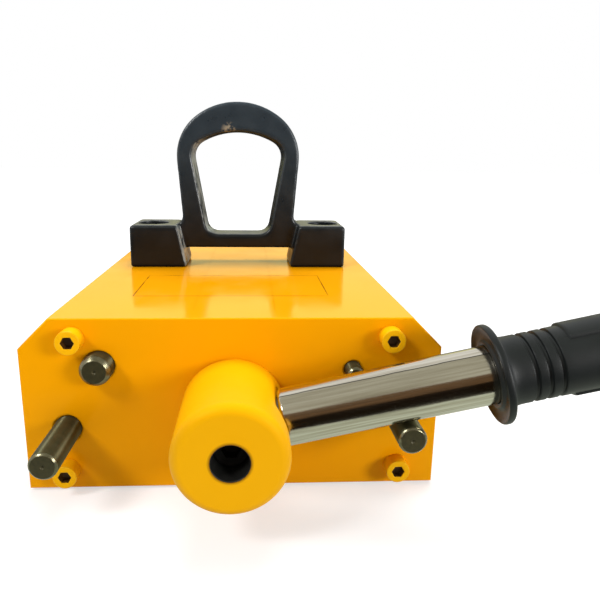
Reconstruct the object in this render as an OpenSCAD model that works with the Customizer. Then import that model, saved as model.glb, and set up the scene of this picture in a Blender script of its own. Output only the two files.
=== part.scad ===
// Permanent lifting magnet with a turning rotor, a hand lever and a bolted lifting eye.
// Millimetres. +Z is up and the lever end faces -Y. The origin is the middle of the pole faces.

/* [Body] */
// Width across the two pole blocks
body_w = 220; // [208:1:260]
// Length of the pole blocks between the end plates
body_l = 272; // [220:1:420]
// Height from the pole faces to the flat top
body_h = 97; // [96:1:130]
// Bevel along the two long top edges
top_bevel = 16.3; // [6:0.1:20]
// Thickness of each end plate
plate_t = 16; // [14:0.5:24]
// How far the pole faces stand below the end plates
pole_stand = 1.5; // [0.5:0.5:5]

/* [Magnets and spacers] */
// Width of the fixed magnets between the pole blocks
fixed_magnet_w = 44; // [24:1:52]
// Height of the fixed magnets
fixed_magnet_h = 10; // [6:0.5:11]
// Number of fixed magnets in the row
fixed_magnet_count = 6; // [2:1:10]
// Thickness of the bridge strip that closes the top gap
bridge_t = 8; // [4:0.5:8.5]
// Width of the brass strip between the pole faces
spacer_w = 30; // [16:1:40]
// Clear height between the brass strip and the rotor bore
spacer_gap = 4; // [3:0.5:12]
// Glue line between neighbouring magnets
glue_line = 0.4; // [0.2:0.1:1]

/* [Rotor] */
// Clear height between the rotor bore and the fixed magnets
magnet_gap = 1; // [0.5:0.5:3]
// Diameter of the rotor
rotor_d = 58; // [55:0.5:58]
// Air gap between the rotor and the pole blocks
air_gap = 0.5; // [0.3:0.1:0.8]
// Width of the magnet slot through the rotor
rotor_slot_w = 20; // [14:1:24]
// Depth of the rotor magnets below the rotor's surface
rotor_magnet_inset = 2; // [1:0.5:6]
// Number of rotor magnets in the row
rotor_magnet_count = 5; // [2:1:10]
// Step from the rotor down to the shaft flanges
shaft_flange_step = 1; // [0.5:0.5:1.5]
// Thickness of the shaft flanges
shaft_flange_t = 8; // [6:0.5:12]
// Diameter of the journals in the bushes
journal_d = 25; // [24:0.5:28]
// Diameter of the shaft nose inside the hub
nose_d = 22; // [18:0.5:23]
// Length of the shaft nose inside the hub
nose_l = 25; // [20:0.5:25.5]

/* [Bearings] */
// Outside diameter of the bushes
bush_d = 32; // [30:0.5:34]
// Length of the bush inside the plate
bush_l = 9; // [6:0.5:9]
// Diameter of the bush flange
bush_flange_d = 42; // [36:0.5:46]
// Thickness of the bush flange
bush_flange_t = 3; // [2:0.5:5]
// Outside diameter of the shaft seal
seal_d = 36; // [35:0.5:40]
// Thickness of the shaft seal
seal_t = 4; // [3:0.5:4.5]

/* [Hub] */
// Diameter of the lever hub
hub_d = 54; // [53:0.5:60]
// Length of the hub from its back face
hub_l = 56.5; // [54:0.5:78]
// Rounding of the hub's front edge
hub_round = 5; // [3:0.5:12]
// Rounding of the hub's back edge
hub_back_round = 2; // [1:0.5:4]
// Diameter of the deep hole in the hub's front
hub_hole_d = 17; // [17:0.5:19]
// Width of the bevel round that hole
hub_hole_bevel = 0.5; // [0.5:0.5:3]
// Solid web between the shaft nose and the deep hole
hub_web = 7; // [6:0.5:10]
// Width and height of the drive key
key_w = 6; // [5:0.5:8]
// Length of the drive key
key_l = 18; // [10:1:18]

/* [Lever] */
// Angle of the lever above level at rest
lever_angle = 13.3; // [13.3:0.1:40]
// Lean of the lever away from the end plate
lever_lean = 2.7; // [2:0.1:6]
// Distance from the end plate to the lever's crossing with the hub axis
lever_reach = 24; // [23.5:0.5:26]
// Diameter of the rod that is fixed in the hub
rod_d = 20; // [16:0.5:20]
// Distance from the hub axis to the inner end of the rod
rod_start = 16; // [16:0.5:18]
// Length of the rod
rod_l = 104; // [60:1:140]
// Distance from the hub axis to the flat where the lever enters
seat_start = 24; // [23:0.5:25]
// Diameter of that flat
seat_d = 34; // [30:0.5:38]
// Gap between the flat and the end of the tube
tube_gap = 1; // [0.5:0.5:6]
// Outside diameter of the chromed tube
tube_d = 28; // [25:0.1:28]
// Length of the chromed tube
tube_l = 200; // [160:1:260]

/* [Grip] */
// Distance that the tube stands inside the grip
grip_over = 99; // [88:0.5:130]
// Thickness of the rubber round the tube
grip_wall = 2.25; // [1.5:0.25:4]
// Thickness of the rubber past the tube's end
grip_end_t = 9; // [7:0.5:16]
// Rounding of the grip's free end
grip_end_round = 5; // [2:0.5:6]
// Diameter of the hand guard
guard_d = 48; // [38:0.5:54]
// Thickness of the hand guard
guard_t = 4; // [3:0.5:8]
// Plain length between the guard and the first groove
collar_l = 12; // [8:0.5:20]
// Width of the grip's ring grooves
groove_w = 1.6; // [1:0.1:2.5]
// Depth of the ring grooves
groove_depth = 1; // [0.5:0.1:1.2]
// Distance from one groove to the next
groove_step = 6; // [4:0.1:7]
// Number of ring grooves
groove_count = 3; // [1:1:4]
// Plain length between the last groove and the raised pads
pad_gap = 6; // [2:0.5:10]
// Height of the raised pads
pad_t = 1.2; // [0.5:0.1:2]
// Angle that each raised pad covers
pad_angle = 69; // [60:1:120]
// Plain length between the pads and the grip's end
pad_end_gap = 9; // [7:0.5:20]

/* [Pins] */
// Diameter of the stop pins
pin_d = 14; // [12:0.5:14]
// Bevel on the ends of the stop pins and the small dowel
pin_bevel = 1.2; // [0.5:0.1:2]
// Depth of the centre mark in the pins' free ends
pin_dimple = 1.2; // [0.5:0.1:2]
// Depth of the pins inside the pole blocks
pin_seat = 22; // [10:1:40]
// Width of the countersink round each pin
pin_sink = 1; // [0.5:0.1:2.5]
// Diameter of the large dowel
dowel_d = 16; // [12:0.5:17]
// Bevel on the ends of the large dowel
dowel_bevel = 2; // [1:0.1:3]
// Distance of the large dowel from the middle
dowel_x = 69.5; // [55:0.5:71]
// Height of the large dowel above the rotor axis
dowel_rise = 23; // [20:0.5:26]
// How far the large dowel stands out of the plate
dowel_out = 9; // [5:0.5:12]
// Diameter of the small dowel
small_dowel_d = 9; // [6:0.5:14]
// Distance of the small dowel from the middle
small_dowel_x = 63; // [55:0.5:68]
// Height of the small dowel above the rotor axis
small_dowel_rise = 20; // [19:0.5:26]
// How far the small dowel stands out of the plate
small_dowel_out = 9; // [5:0.5:11]
// Distance of the on stop from the middle
on_stop_x = 87.5; // [84:0.5:90]
// Depth of the on stop below the rotor axis
on_stop_drop = 12; // [8:0.5:14]
// Distance of the off stop from the middle
off_stop_x = 86; // [84:0.5:90]
// Depth of the off stop below the rotor axis
off_stop_drop = 1.5; // [1.5:0.25:4]
// How far the stop pins stand out of the plate
stop_out = 37.5; // [36:0.5:42]

/* [Lifting eye] */
// Distance across the outside of the feet
feet_w = 158; // [140:1:164]
// Width of a foot at its base
foot_base_w = 41; // [38:0.5:46]
// Width of a foot at its top
foot_top_w = 35; // [32:0.5:36]
// Height of the feet
foot_h = 31; // [28:0.5:36]
// Rounding of the feet's edges
foot_round = 2.5; // [1:0.5:4]
// Depth of the feet from front to back
foot_depth = 41.5; // [28:0.5:44]
// Depth of the ring from front to back
ring_depth = 26; // [18:0.5:28]
// Height of the eye above the body
eye_h = 118.5; // [117:0.5:140]
// Half of the width across the ring's shoulders
ring_half_w = 44.4; // [43:0.1:48]
// Radius of the ring's shoulders
ring_shoulder_r = 36; // [30:0.5:38]
// Radius of the ring's crown
ring_crown_r = 50; // [48:0.5:60]
// Half of the width across the ring's neck
neck_half_w = 41.2; // [40:0.1:43]
// Rounding between the neck and the feet
neck_fillet = 6; // [3:0.5:8]
// Thickness of the ring at its top
crown_t = 21; // [18:0.5:26]
// Half of the opening's width near its top
hole_top_half = 31.6; // [28:0.1:33]
// Half of the opening's width at its foot
hole_foot_half = 23.2; // [18:0.1:24]
// Radius of the opening's upper corners
hole_top_r = 12; // [9:0.5:15]
// Radius of the opening's crown
hole_crown_r = 52; // [44:0.5:60]
// Radius of the opening's lower corners
hole_foot_r = 9; // [5:0.5:11]
// Thickness of the cross bar under the opening
bar_t = 11; // [8:0.5:13]
// Clear height under the cross bar
bar_gap = 13.5; // [8:0.5:16]
// Growth of the opening's width from its middle to each face
hole_flare = 1.08; // [1:0.01:1.1]
// Growth of the opening's height from its middle to each face
hole_rise = 1.03; // [1:0.01:1.05]

/* [Fasteners] */
// Thread diameter of the plate screws
plate_screw_d = 8; // [5:1:8]
// Head diameter of the plate screws, with their paint
plate_head_d = 12.5; // [9:0.5:13]
// Head height of the plate screws
plate_head_h = 8; // [4:0.5:8]
// Width across the flats of the plate screws' sockets
plate_socket = 6; // [4:0.1:6]
// Length of the plate screws under the head
plate_screw_l = 34; // [30:1:50]
// Distance of the upper plate screws from the sides
plate_screw_side_top = 28; // [24:0.5:28]
// Distance of the lower plate screws from the sides
plate_screw_side_foot = 21.5; // [16:0.5:26]
// Distance of the upper plate screws from the top
plate_screw_top = 10.5; // [9.5:0.5:12.5]
// Distance of the lower plate screws from the plate's foot
plate_screw_foot = 11; // [7.5:0.5:12]
// Thread diameter of the eye screws
eye_screw_d = 14; // [10:1:14]
// Head diameter of the eye screws
eye_head_d = 22; // [18:0.5:24]
// Head height of the eye screws
eye_head_h = 14; // [10:0.5:14]
// Length of the eye screws under the head
eye_screw_l = 45; // [36:1:50]
// Depth of the head recess in the feet
eye_recess = 17; // [14:0.5:18]
// Distance of the eye screws from the outer sides of the feet
eye_screw_side = 14.5; // [13.5:0.5:18]
// Width across the flats of the eye screws' sockets
eye_socket = 12; // [8:0.5:12]
// Thread diameter of the hub screw
hub_screw_d = 10; // [8:1:10]
// Head diameter of the hub screw
hub_head_d = 16; // [14:0.5:16]
// Head height of the hub screw
hub_head_h = 10; // [8:0.5:12]
// Length of the hub screw under the head
hub_screw_l = 28; // [22:1:30]
// Width across the flats of the hub screw's socket
hub_socket = 8; // [6:0.5:8]
// Thickness of the hub washer
washer_t = 2.5; // [1.5:0.5:4]
// Thread diameter of the rotor screws
rotor_screw_d = 6; // [5:1:6]
// Head diameter of the countersunk rotor screws
rotor_head_d = 11.5; // [10:0.5:12]
// Length of the rotor screws
rotor_screw_l = 22; // [16:1:30]
// Distance of the rotor screws from the middle plane
rotor_screw_x = 19; // [17.5:0.5:19]
// Height of the rotor screws above and below the axis
rotor_screw_z = 8; // [7:0.5:9]
// Depth of the rotor screws' heads below the flange face
head_sink = 0.3; // [0.1:0.1:0.6]

/* [Clearances] */
// Radial clearance of fixed fits
fit = 0.1; // [0.05:0.05:0.2]
// Radial clearance of the journals in the bushes
run = 0.05; // [0.02:0.01:0.1]
// Radial clearance of the shaft seal
seal_clear = 0.3; // [0.2:0.05:0.4]
// End play on each side of the rotor
end_play = 0.15; // [0.1:0.05:0.4]
// Gap between the hub and the end plate
hub_gap = 0.5; // [0.3:0.1:1]
// Room past the end of a screw, a pin or a shaft
end_room = 1; // [0.5:0.5:3]

/* [Hidden] */

$fn = 64;
over = 1;
half_l = body_l / 2;
face_y = -half_l - plate_t;
bore_d = rotor_d + 2 * air_gap;
axis_z = body_h - bridge_t - fixed_magnet_h - magnet_gap - bore_d / 2;
spacer_t = axis_z - bore_d / 2 - spacer_gap;
shaft_flange_d = rotor_d - 2 * shaft_flange_step;
rotor_magnet_h = sqrt(pow(rotor_d, 2) - pow(rotor_slot_w, 2)) - 2 * rotor_magnet_inset;
rotor_end = half_l - bush_flange_t - end_play;
rotor_l = 2 * (rotor_end - shaft_flange_t);
hub_back = hub_gap;
hub_front = hub_gap + hub_l;
nose_end = hub_back + nose_l;
web_start = nose_end + fit;
hole_floor = web_start + hub_web;
screw_top = [body_w / 2 - plate_screw_side_top, body_h - plate_screw_top];
screw_foot = [body_w / 2 - plate_screw_side_foot, pole_stand + plate_screw_foot];
tube_start = seat_start + tube_gap;
tube_end = tube_start + tube_l;
grip_start = tube_end - grip_over;
grip_end = tube_end + grip_end_t;
grip_bore_r = tube_d / 2 + fit;
grip_r = grip_bore_r + grip_wall;
groove_start = grip_start + guard_t + collar_l;
groove_end = groove_start + (groove_count - 1) * groove_step + groove_w;
pad_start = groove_end + pad_gap;
pad_end = grip_end - pad_end_gap;
bar_z = body_h + bar_gap;
hole_foot_z = bar_z + bar_t;
hole_top_z = body_h + eye_h - crown_t;
foot_mid_x = feet_w / 2 - foot_top_w / 2;
eye_screw_x = feet_w / 2 - eye_screw_side;
recess_d = eye_head_d + 2 * fit;
hex_ratio = 2 / sqrt(3);
yellow = "#f5a806";
black = "#2a2e32";
steel = "#8a8778";

// Tangent point pair of a belt that runs anticlockwise from circle a to circle b, each given as [x, y, r]
function belt_pair(a, b) =
    let (
        gap = [b.x - a.x, b.y - a.y],
        turn = atan2(gap.y, gap.x) - acos((a.z - b.z) / norm(gap)),
        out = [cos(turn), sin(turn)]
    )
    [[a.x, a.y] + a.z * out, [b.x, b.y] + b.z * out];

// Outline of a belt drawn tight round a ring of circles; a circle of no size makes a sharp corner
module belt(circles) {
    count = len(circles);
    points = [for (i = [0 : count - 1]) each belt_pair(circles[i], circles[(i + 1) % count])];
    last = 2 * count - 1;
    polygon([for (i = [0 : last]) if (points[i] != points[i == last ? 0 : i + 1]) points[i]]);
    for (c = circles) {
        if (c.z > 0) {
            translate([c.x, c.y]) circle(r = c.z);
        }
    }
}

// Height of the shoulder circles of an arch whose flatter crown runs smoothly into them
function shoulder_height(top_z, crown_r, shoulder_r, shoulder_x) =
    top_z - crown_r + sqrt(pow(crown_r - shoulder_r, 2) - pow(shoulder_x, 2));

// Crown of an arch between its two shoulder circles
module crown(top_z, crown_r, shoulder_r, shoulder_x) {
    lean = asin(shoulder_x / (crown_r - shoulder_r));
    side = (crown_r + over) * tan(lean);
    translate([0, top_z - crown_r])
        intersection() {
            circle(r = crown_r);
            polygon([[0, 0], [side, crown_r + over], [-side, crown_r + over]]);
        }
}

// Takes an outline drawn in X and Z and draws it out from one Y to another
module along_y(from, to) {
    translate([0, to, 0]) rotate([90, 0, 0]) linear_extrude(to - from) children();
}

// Round bar along Y
module bar_y(from, to, d) {
    translate([0, to, 0]) rotate([90, 0, 0]) cylinder(h = to - from, d = d);
}

// Local frame of the front end: +Z points out of the front plate along the rotor axis, +Y is up
module on_front() {
    translate([0, face_y, axis_z]) rotate([90, 0, 0]) children();
}

// Local frame of the lever: +Z runs out along it from its crossing with the hub axis
module on_lever() {
    translate([0, face_y - lever_reach, axis_z])
        rotate([0, -lever_angle, 0]) rotate([0, 0, -lever_lean]) rotate([0, 90, 0]) children();
}

// Places of the four plate screws, in X and Z
module at_plate_screws() {
    for (side = [-1, 1], place = [screw_top, screw_foot]) {
        translate([side * place.x, 0, place.y]) children();
    }
}

// Places of the two dowels and the two stop pins, in X and Z
module at_left_dowel() { translate([-dowel_x, 0, axis_z + dowel_rise]) children(); }
module at_right_dowel() { translate([small_dowel_x, 0, axis_z + small_dowel_rise]) children(); }
module at_on_stop() { translate([-on_stop_x, 0, axis_z - on_stop_drop]) children(); }
module at_off_stop() { translate([off_stop_x, 0, axis_z - off_stop_drop]) children(); }

// Holes of the four pins from the plate's face to the pins' seats in the pole blocks
module pin_holes() {
    at_left_dowel() pin_hole(dowel_d);
    at_right_dowel() pin_hole(small_dowel_d);
    at_on_stop() pin_hole(pin_d);
    at_off_stop() pin_hole(pin_d);
}

// One pin hole with a countersink at the plate's face
module pin_hole(d) {
    hole_d = d + 2 * fit;
    bar_y(face_y - over, -half_l + pin_seat + end_room, hole_d);
    translate([0, face_y, 0]) rotate([-90, 0, 0])
        cylinder(h = pin_sink, d1 = hole_d + 2 * pin_sink, d2 = hole_d);
}

// Socket head screw along -Z with the underside of its head at the origin
module socket_screw(d, l, head_d, head_h, socket) {
    difference() {
        union() {
            cylinder(h = head_h, d = head_d);
            translate([0, 0, -l]) cylinder(h = l, d = d);
        }
        translate([0, 0, head_h / 2]) cylinder(h = head_h, d = socket * hex_ratio, $fn = 6);
    }
}

// Outline of the body across its length, from a given foot height up
module body_outline(foot_z) {
    half = body_w / 2;
    polygon([
        [-half, foot_z], [half, foot_z], [half, body_h - top_bevel], [half - top_bevel, body_h],
        [top_bevel - half, body_h], [-half, body_h - top_bevel]
    ]);
}

// One steel pole block with its half of the rotor bore, side is -1 or 1
module pole(side) {
    color(yellow)
    difference() {
        along_y(-half_l, half_l)
            difference() {
                body_outline(0);
                translate([0, axis_z]) circle(d = bore_d);
                translate([side > 0 ? -body_w : -fixed_magnet_w / 2, axis_z])
                    square([body_w + fixed_magnet_w / 2, body_h]);
                translate([side > 0 ? -body_w : -spacer_w / 2, -over])
                    square([body_w + spacer_w / 2, axis_z + 2 * over]);
            }
        for (turn = [0, 180]) {
            rotate([0, 0, turn])
                at_plate_screws()
                    bar_y(-half_l - over, face_y + plate_screw_l + end_room, plate_screw_d + 2 * fit);
        }
        pin_holes();
        translate([side * eye_screw_x, 0, body_h + foot_h - eye_recess - eye_screw_l - end_room])
            cylinder(h = eye_screw_l + over, d = eye_screw_d + 2 * fit);
    }
}

module left_pole() { pole(-1); }
module right_pole() { pole(1); }

// Non-magnetic strip that bridges the pole blocks along the top
module bridge_strip() {
    color(yellow)
    along_y(-half_l, half_l)
        translate([-fixed_magnet_w / 2, body_h - bridge_t]) square([fixed_magnet_w, bridge_t]);
}

// Brass strip that keeps the two pole faces apart
module brass_spacer() {
    color("goldenrod")
    along_y(-half_l, half_l) translate([-spacer_w / 2, 0]) square([spacer_w, spacer_t]);
}

// Row of magnet blocks along Y, centred, with a glue line between blocks
module magnet_row(count, length, w, h) {
    pitch = length / count;
    for (i = [0 : count - 1]) {
        translate([-w / 2, -length / 2 + i * pitch + glue_line / 2, 0]) cube([w, pitch - glue_line, h]);
    }
}

module fixed_magnets() {
    color("silver")
    translate([0, 0, body_h - bridge_t - fixed_magnet_h])
        magnet_row(fixed_magnet_count, body_l, fixed_magnet_w, fixed_magnet_h);
}

// End plate outline drawn out over its thickness, with the holes of its four screws
module plate_blank(from, to) {
    difference() {
        along_y(from, to) body_outline(pole_stand);
        at_plate_screws() bar_y(from - over, to + over, plate_screw_d + 2 * fit);
    }
}

module front_plate() {
    color(yellow)
    difference() {
        plate_blank(face_y, -half_l);
        on_front() {
            translate([0, 0, -plate_t]) cylinder(h = plate_t, d = journal_d + 2 * seal_clear);
            translate([0, 0, -plate_t - over]) cylinder(h = bush_l + over, d = bush_d + 2 * fit);
            translate([0, 0, -seal_t]) cylinder(h = seal_t + over, d = seal_d + 2 * fit);
        }
        pin_holes();
    }
}

module rear_plate() {
    color(yellow)
    difference() {
        plate_blank(half_l, half_l + plate_t);
        translate([0, 0, axis_z]) bar_y(half_l - over, half_l + bush_l, bush_d + 2 * fit);
    }
}

// Flanged bronze bush: its flange lies at the origin's plane and faces +Z, the sleeve runs down
module bush() {
    color("darkgoldenrod")
    difference() {
        union() {
            translate([0, 0, -bush_l]) cylinder(h = bush_l, d = bush_d);
            cylinder(h = bush_flange_t, d = bush_flange_d);
        }
        translate([0, 0, -bush_l - over])
            cylinder(h = bush_l + bush_flange_t + 2 * over, d = journal_d + 2 * run);
    }
}

module front_bush() { translate([0, -half_l, axis_z]) rotate([-90, 0, 0]) bush(); }
module rear_bush() { translate([0, half_l, axis_z]) rotate([90, 0, 0]) bush(); }

// Rubber seal round the journal, flush with the front of the plate
module shaft_seal() {
    color("#202020")
    on_front()
        translate([0, 0, -seal_t])
            difference() {
                cylinder(h = seal_t, d = seal_d);
                translate([0, 0, -over]) cylinder(h = seal_t + 2 * over, d = journal_d + 2 * seal_clear);
            }
}

module plate_screw() {
    color(yellow) socket_screw(plate_screw_d, plate_screw_l, plate_head_d, plate_head_h, plate_socket);
}

module front_plate_screws() { at_plate_screws() translate([0, face_y, 0]) rotate([90, 0, 0]) plate_screw(); }
module rear_plate_screws() { at_plate_screws() translate([0, -face_y, 0]) rotate([-90, 0, 0]) plate_screw(); }

// Hardened pin with bevelled ends, along Y from its seat in the pole block to its free end
module pin(d, bevel, out) {
    r = d / 2;
    l = pin_seat + plate_t + out;
    color(steel)
    translate([0, -half_l + pin_seat, 0]) rotate([90, 0, 0])
        rotate_extrude()
            polygon([
                [0, 0], [r - bevel, 0], [r, bevel], [r, l - bevel], [r - bevel, l],
                [pin_dimple, l], [0, l - pin_dimple]
            ]);
}

module left_dowel() { at_left_dowel() pin(dowel_d, dowel_bevel, dowel_out); }
module right_dowel() { at_right_dowel() pin(small_dowel_d, pin_bevel, small_dowel_out); }
module on_stop_pin() { at_on_stop() pin(pin_d, pin_bevel, stop_out); }
module off_stop_pin() { at_off_stop() pin(pin_d, pin_bevel, stop_out); }

// Outline of the cast eye's opening: narrow foot, wide shoulders and a flat crown
module hole_outline() {
    top_x = hole_top_half - hole_top_r;
    foot_x = hole_foot_half - hole_foot_r;
    shoulder_z = shoulder_height(hole_top_z, hole_crown_r, hole_top_r, top_x);
    belt([
        [-foot_x, hole_foot_z + hole_foot_r, hole_foot_r], [foot_x, hole_foot_z + hole_foot_r, hole_foot_r],
        [top_x, shoulder_z, hole_top_r], [-top_x, shoulder_z, hole_top_r]
    ]);
    crown(hole_top_z, hole_crown_r, hole_top_r, top_x);
}

// Outline of the ring, its neck and its cross bar, before the opening is cut
module ring_outline() {
    foot_z = body_h + foot_h;
    neck_z = foot_z + neck_fillet;
    fillet_x = neck_half_w + neck_fillet;
    top_z = body_h + eye_h;
    shoulder_x = ring_half_w - ring_shoulder_r;
    shoulder_z = shoulder_height(top_z, ring_crown_r, ring_shoulder_r, shoulder_x);
    belt([
        [-neck_half_w, bar_z, 0], [neck_half_w, bar_z, 0], [neck_half_w, neck_z, 0],
        [shoulder_x, shoulder_z, ring_shoulder_r], [-shoulder_x, shoulder_z, ring_shoulder_r],
        [-neck_half_w, neck_z, 0]
    ]);
    crown(top_z, ring_crown_r, ring_shoulder_r, shoulder_x);
    translate([-foot_mid_x, bar_z]) square([2 * foot_mid_x, foot_z - bar_z]);
    difference() {
        translate([-fillet_x, foot_z - over]) square([2 * fillet_x, neck_fillet + over]);
        for (x = [-fillet_x, fillet_x]) {
            translate([x, neck_z]) circle(r = neck_fillet);
        }
    }
}

// One foot of the eye, wider at its base on the inner side
module foot_outline(side) {
    out_x = feet_w / 2;
    edge = foot_round;
    base_x = out_x - foot_base_w;
    top_x = out_x - foot_top_w;
    mirror([side > 0 ? 0 : 1, 0])
        difference() {
            belt([
                [base_x + edge, body_h, edge], [out_x - edge, body_h, edge],
                [out_x - edge, body_h + foot_h - edge, edge], [top_x + edge, body_h + foot_h - edge, edge]
            ]);
            translate([0, body_h - foot_h]) square([feet_w, foot_h]);
        }
}

// Cast lifting eye: two feet, a cross bar and the ring, with head recesses for its two screws
module lifting_eye() {
    hole_mid_z = (hole_foot_z + hole_top_z) / 2;
    color(black)
    difference() {
        union() {
            along_y(-ring_depth / 2, ring_depth / 2) ring_outline();
            along_y(-foot_depth / 2, foot_depth / 2) {
                foot_outline(-1);
                foot_outline(1);
            }
        }
        for (turn = [0, 180]) {
            translate([0, 0, hole_mid_z]) rotate([90, 0, turn])
                linear_extrude(ring_depth / 2 + over, scale = [hole_flare, hole_rise], slices = 1)
                    translate([0, -hole_mid_z]) hole_outline();
        }
        for (x = [-eye_screw_x, eye_screw_x]) {
            translate([x, 0, body_h - over]) cylinder(h = foot_h + 2 * over, d = eye_screw_d + 2 * fit);
            translate([x, 0, body_h + foot_h - eye_recess]) cylinder(h = eye_recess + over, d = recess_d);
        }
    }
}

module eye_screws() {
    color("#303234")
    for (x = [-eye_screw_x, eye_screw_x]) {
        translate([x, 0, body_h + foot_h - eye_recess])
            socket_screw(eye_screw_d, eye_screw_l, eye_head_d, eye_head_h, eye_socket);
    }
}

// Places of the countersunk screws at both ends of the rotor, -Z pointing into the rotor
module at_rotor_screws() {
    for (x = [-rotor_screw_x, rotor_screw_x], z = [-rotor_screw_z, rotor_screw_z], turn = [0, 180]) {
        translate([x, 0, axis_z + z]) rotate([0, 0, turn])
            translate([0, -rotor_end, 0]) rotate([90, 0, 0]) children();
    }
}

// Half outline of a countersunk rotor screw, grown by a clearance
module rotor_screw_outline(room) {
    r = rotor_screw_d / 2 + room;
    head_r = rotor_head_d / 2 + room;
    polygon([[0, -rotor_screw_l - room], [r, -rotor_screw_l - room], [r, r - head_r], [head_r, 0], [0, 0]]);
}

module rotor_screw() { translate([0, 0, -head_sink]) rotate_extrude() rotor_screw_outline(0); }

module rotor_screw_hole() {
    translate([0, 0, -head_sink]) {
        rotate_extrude() rotor_screw_outline(fit);
        cylinder(h = head_sink + over, d = rotor_head_d + 2 * fit);
    }
}

// One half of the rotor's steel, beside the magnet slot
module rotor_pole(side) {
    color("dimgray")
    difference() {
        translate([0, 0, axis_z])
            along_y(-rotor_l / 2, rotor_l / 2)
                difference() {
                    circle(d = rotor_d);
                    translate([side > 0 ? -rotor_d : -rotor_slot_w / 2, -rotor_d / 2 - over])
                        square([rotor_d + rotor_slot_w / 2, rotor_d + 2 * over]);
                }
        at_rotor_screws() rotor_screw_hole();
    }
}

module rotor_left_pole() { rotor_pole(-1); }
module rotor_right_pole() { rotor_pole(1); }

module rotor_magnets() {
    color("silver")
    translate([0, 0, axis_z - rotor_magnet_h / 2])
        magnet_row(rotor_magnet_count, rotor_l, rotor_slot_w, rotor_magnet_h);
}

// Shaft end: a flange screwed to the rotor and a journal that runs out along -Y
module shaft_end(journal_l) {
    bar_y(-rotor_end, -rotor_end + shaft_flange_t, shaft_flange_d);
    bar_y(-rotor_end - journal_l, -rotor_end + over, journal_d);
}

// Drive key in the front end's frame, grown by a clearance and lengthened toward the plate
module key_block(room, back) {
    translate([-key_w / 2 - room, nose_d / 2 - key_w / 2 - room, hub_back + end_room - room - back])
        cube([key_w + 2 * room, key_w + 2 * room, key_l + 2 * room + back]);
}

module front_shaft() {
    journal_l = half_l + plate_t + hub_back - rotor_end;
    color(steel)
    difference() {
        union() {
            translate([0, 0, axis_z]) shaft_end(journal_l);
            on_front() translate([0, 0, hub_back - over]) cylinder(h = nose_l + over, d = nose_d);
        }
        at_rotor_screws() rotor_screw_hole();
        on_front() {
            key_block(fit, 0);
            translate([0, 0, hole_floor + washer_t - hub_screw_l - end_room])
                cylinder(h = hub_screw_l, d = hub_screw_d + 2 * fit);
        }
    }
}

module rear_shaft() {
    color(steel)
    difference() {
        translate([0, 0, axis_z]) rotate([0, 0, 180]) shaft_end(half_l + bush_l - rotor_end - end_room);
        at_rotor_screws() rotor_screw_hole();
    }
}

module rotor_screws() { color("#303234") at_rotor_screws() rotor_screw(); }

module drive_key() { color(steel) on_front() key_block(0, 0); }

// Turned blank of the hub: rounded front edge, rounded back edge
module hub_blank() {
    r = hub_d / 2;
    translate([0, 0, hub_back])
        rotate_extrude() {
            translate([0, hub_back_round]) square([r, hub_l - hub_round - hub_back_round]);
            square([r - hub_back_round, hub_l - hub_round]);
            square([r - hub_round, hub_l]);
            translate([r - hub_round, hub_l - hub_round]) circle(r = hub_round);
            translate([r - hub_back_round, hub_back_round]) circle(r = hub_back_round);
        }
}

// Lever hub: keyed on the shaft nose, held by a screw deep in its front, with a flat seat for the lever
module hub() {
    color("#ffc40c")
    difference() {
        on_front()
            difference() {
                hub_blank();
                translate([0, 0, hub_back - over]) cylinder(h = nose_l + fit + over, d = nose_d + 2 * fit);
                key_block(fit, 2 * end_room);
                cylinder(h = hole_floor + over, d = hub_screw_d + 2 * fit);
                translate([0, 0, hole_floor]) cylinder(h = hub_l, d = hub_hole_d);
                translate([0, 0, hub_front - hub_hole_bevel])
                    cylinder(h = hub_hole_bevel, d1 = hub_hole_d, d2 = hub_hole_d + 2 * hub_hole_bevel);
            }
        on_lever() {
            translate([0, 0, rod_start - fit]) cylinder(h = hub_d, d = rod_d + 2 * fit);
            translate([0, 0, seat_start]) cylinder(h = hub_d, d = seat_d);
        }
    }
}

module hub_washer() {
    color(steel)
    on_front()
        translate([0, 0, hole_floor])
            difference() {
                cylinder(h = washer_t, d = hub_head_d);
                translate([0, 0, -over]) cylinder(h = washer_t + 2 * over, d = hub_screw_d + 2 * fit);
            }
}

module hub_screw() {
    color("#202224")
    on_front()
        translate([0, 0, hole_floor + washer_t])
            socket_screw(hub_screw_d, hub_screw_l, hub_head_d, hub_head_h, hub_socket);
}

module lever_rod() {
    color(steel) on_lever() translate([0, 0, rod_start]) cylinder(h = rod_l, d = rod_d);
}

// Chromed tube over the rod, its inner end rounded
module lever_tube() {
    r = tube_d / 2;
    bore_r = rod_d / 2 + fit;
    round_r = (r - bore_r) / 2;
    color("gainsboro")
    on_lever()
        rotate_extrude() {
            translate([bore_r, tube_start + round_r]) square([r - bore_r, tube_l - round_r]);
            translate([bore_r + round_r, tube_start + round_r]) circle(r = round_r);
        }
}

// Turned form of the grip with its hand guard and rounded free end
module grip_profile() {
    guard_round = guard_t / 2;
    difference() {
        union() {
            translate([grip_bore_r, grip_start]) square([guard_d / 2 - guard_round - grip_bore_r, guard_t]);
            translate([guard_d / 2 - guard_round, grip_start + guard_round]) circle(r = guard_round);
            translate([0, grip_start + guard_t - over])
                square([grip_r, grip_end - grip_end_round - grip_start - guard_t + over]);
            square([grip_r - grip_end_round, grip_end]);
            translate([grip_r - grip_end_round, grip_end - grip_end_round]) circle(r = grip_end_round);
        }
        square([grip_bore_r, tube_end + fit]);
        square([guard_d, grip_start]);
        for (i = [0 : groove_count - 1]) {
            translate([grip_r - groove_depth, groove_start + i * groove_step]) square([grip_wall, groove_w]);
        }
    }
}

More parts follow.
